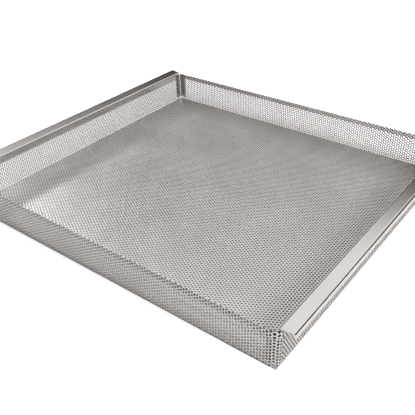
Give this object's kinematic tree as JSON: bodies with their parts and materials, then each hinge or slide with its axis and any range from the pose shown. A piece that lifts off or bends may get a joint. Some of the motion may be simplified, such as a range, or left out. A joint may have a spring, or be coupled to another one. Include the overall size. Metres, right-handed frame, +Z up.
{
  "type": "perforated strainer tray",
  "caption": "Shallow open-topped tray of folded perforated stainless sheet, with solid hanger rails along two sides and angle brackets inside its corners.",
  "frame": {"origin": "middle of the underside of the floor, which is the lowest face", "axes": "+Z up, X across the two hanger rails, Y along the rails, front is -Y"},
  "size_m": [0.517, 0.4528, 0.0523],
  "materials": {
    "perforated_sheet": "mill finish perforated stainless sheet, softly satin",
    "rail_sheet": "bright rolled stainless sheet with faint long brushing",
    "bracket_sheet": "plain rolled stainless sheet"
  },
  "bodies": {
    "root": {"floor_panel": "perforated_sheet", "front_wall": "perforated_sheet", "back_wall": "perforated_sheet", "left_wall": "perforated_sheet", "right_wall": "perforated_sheet", "left_rail": "rail_sheet", "right_rail": "rail_sheet", "bracket_front_left": "bracket_sheet", "bracket_front_right": "bracket_sheet", "bracket_back_left": "bracket_sheet", "bracket_back_right": "bracket_sheet"}
  },
  "joints": []
}
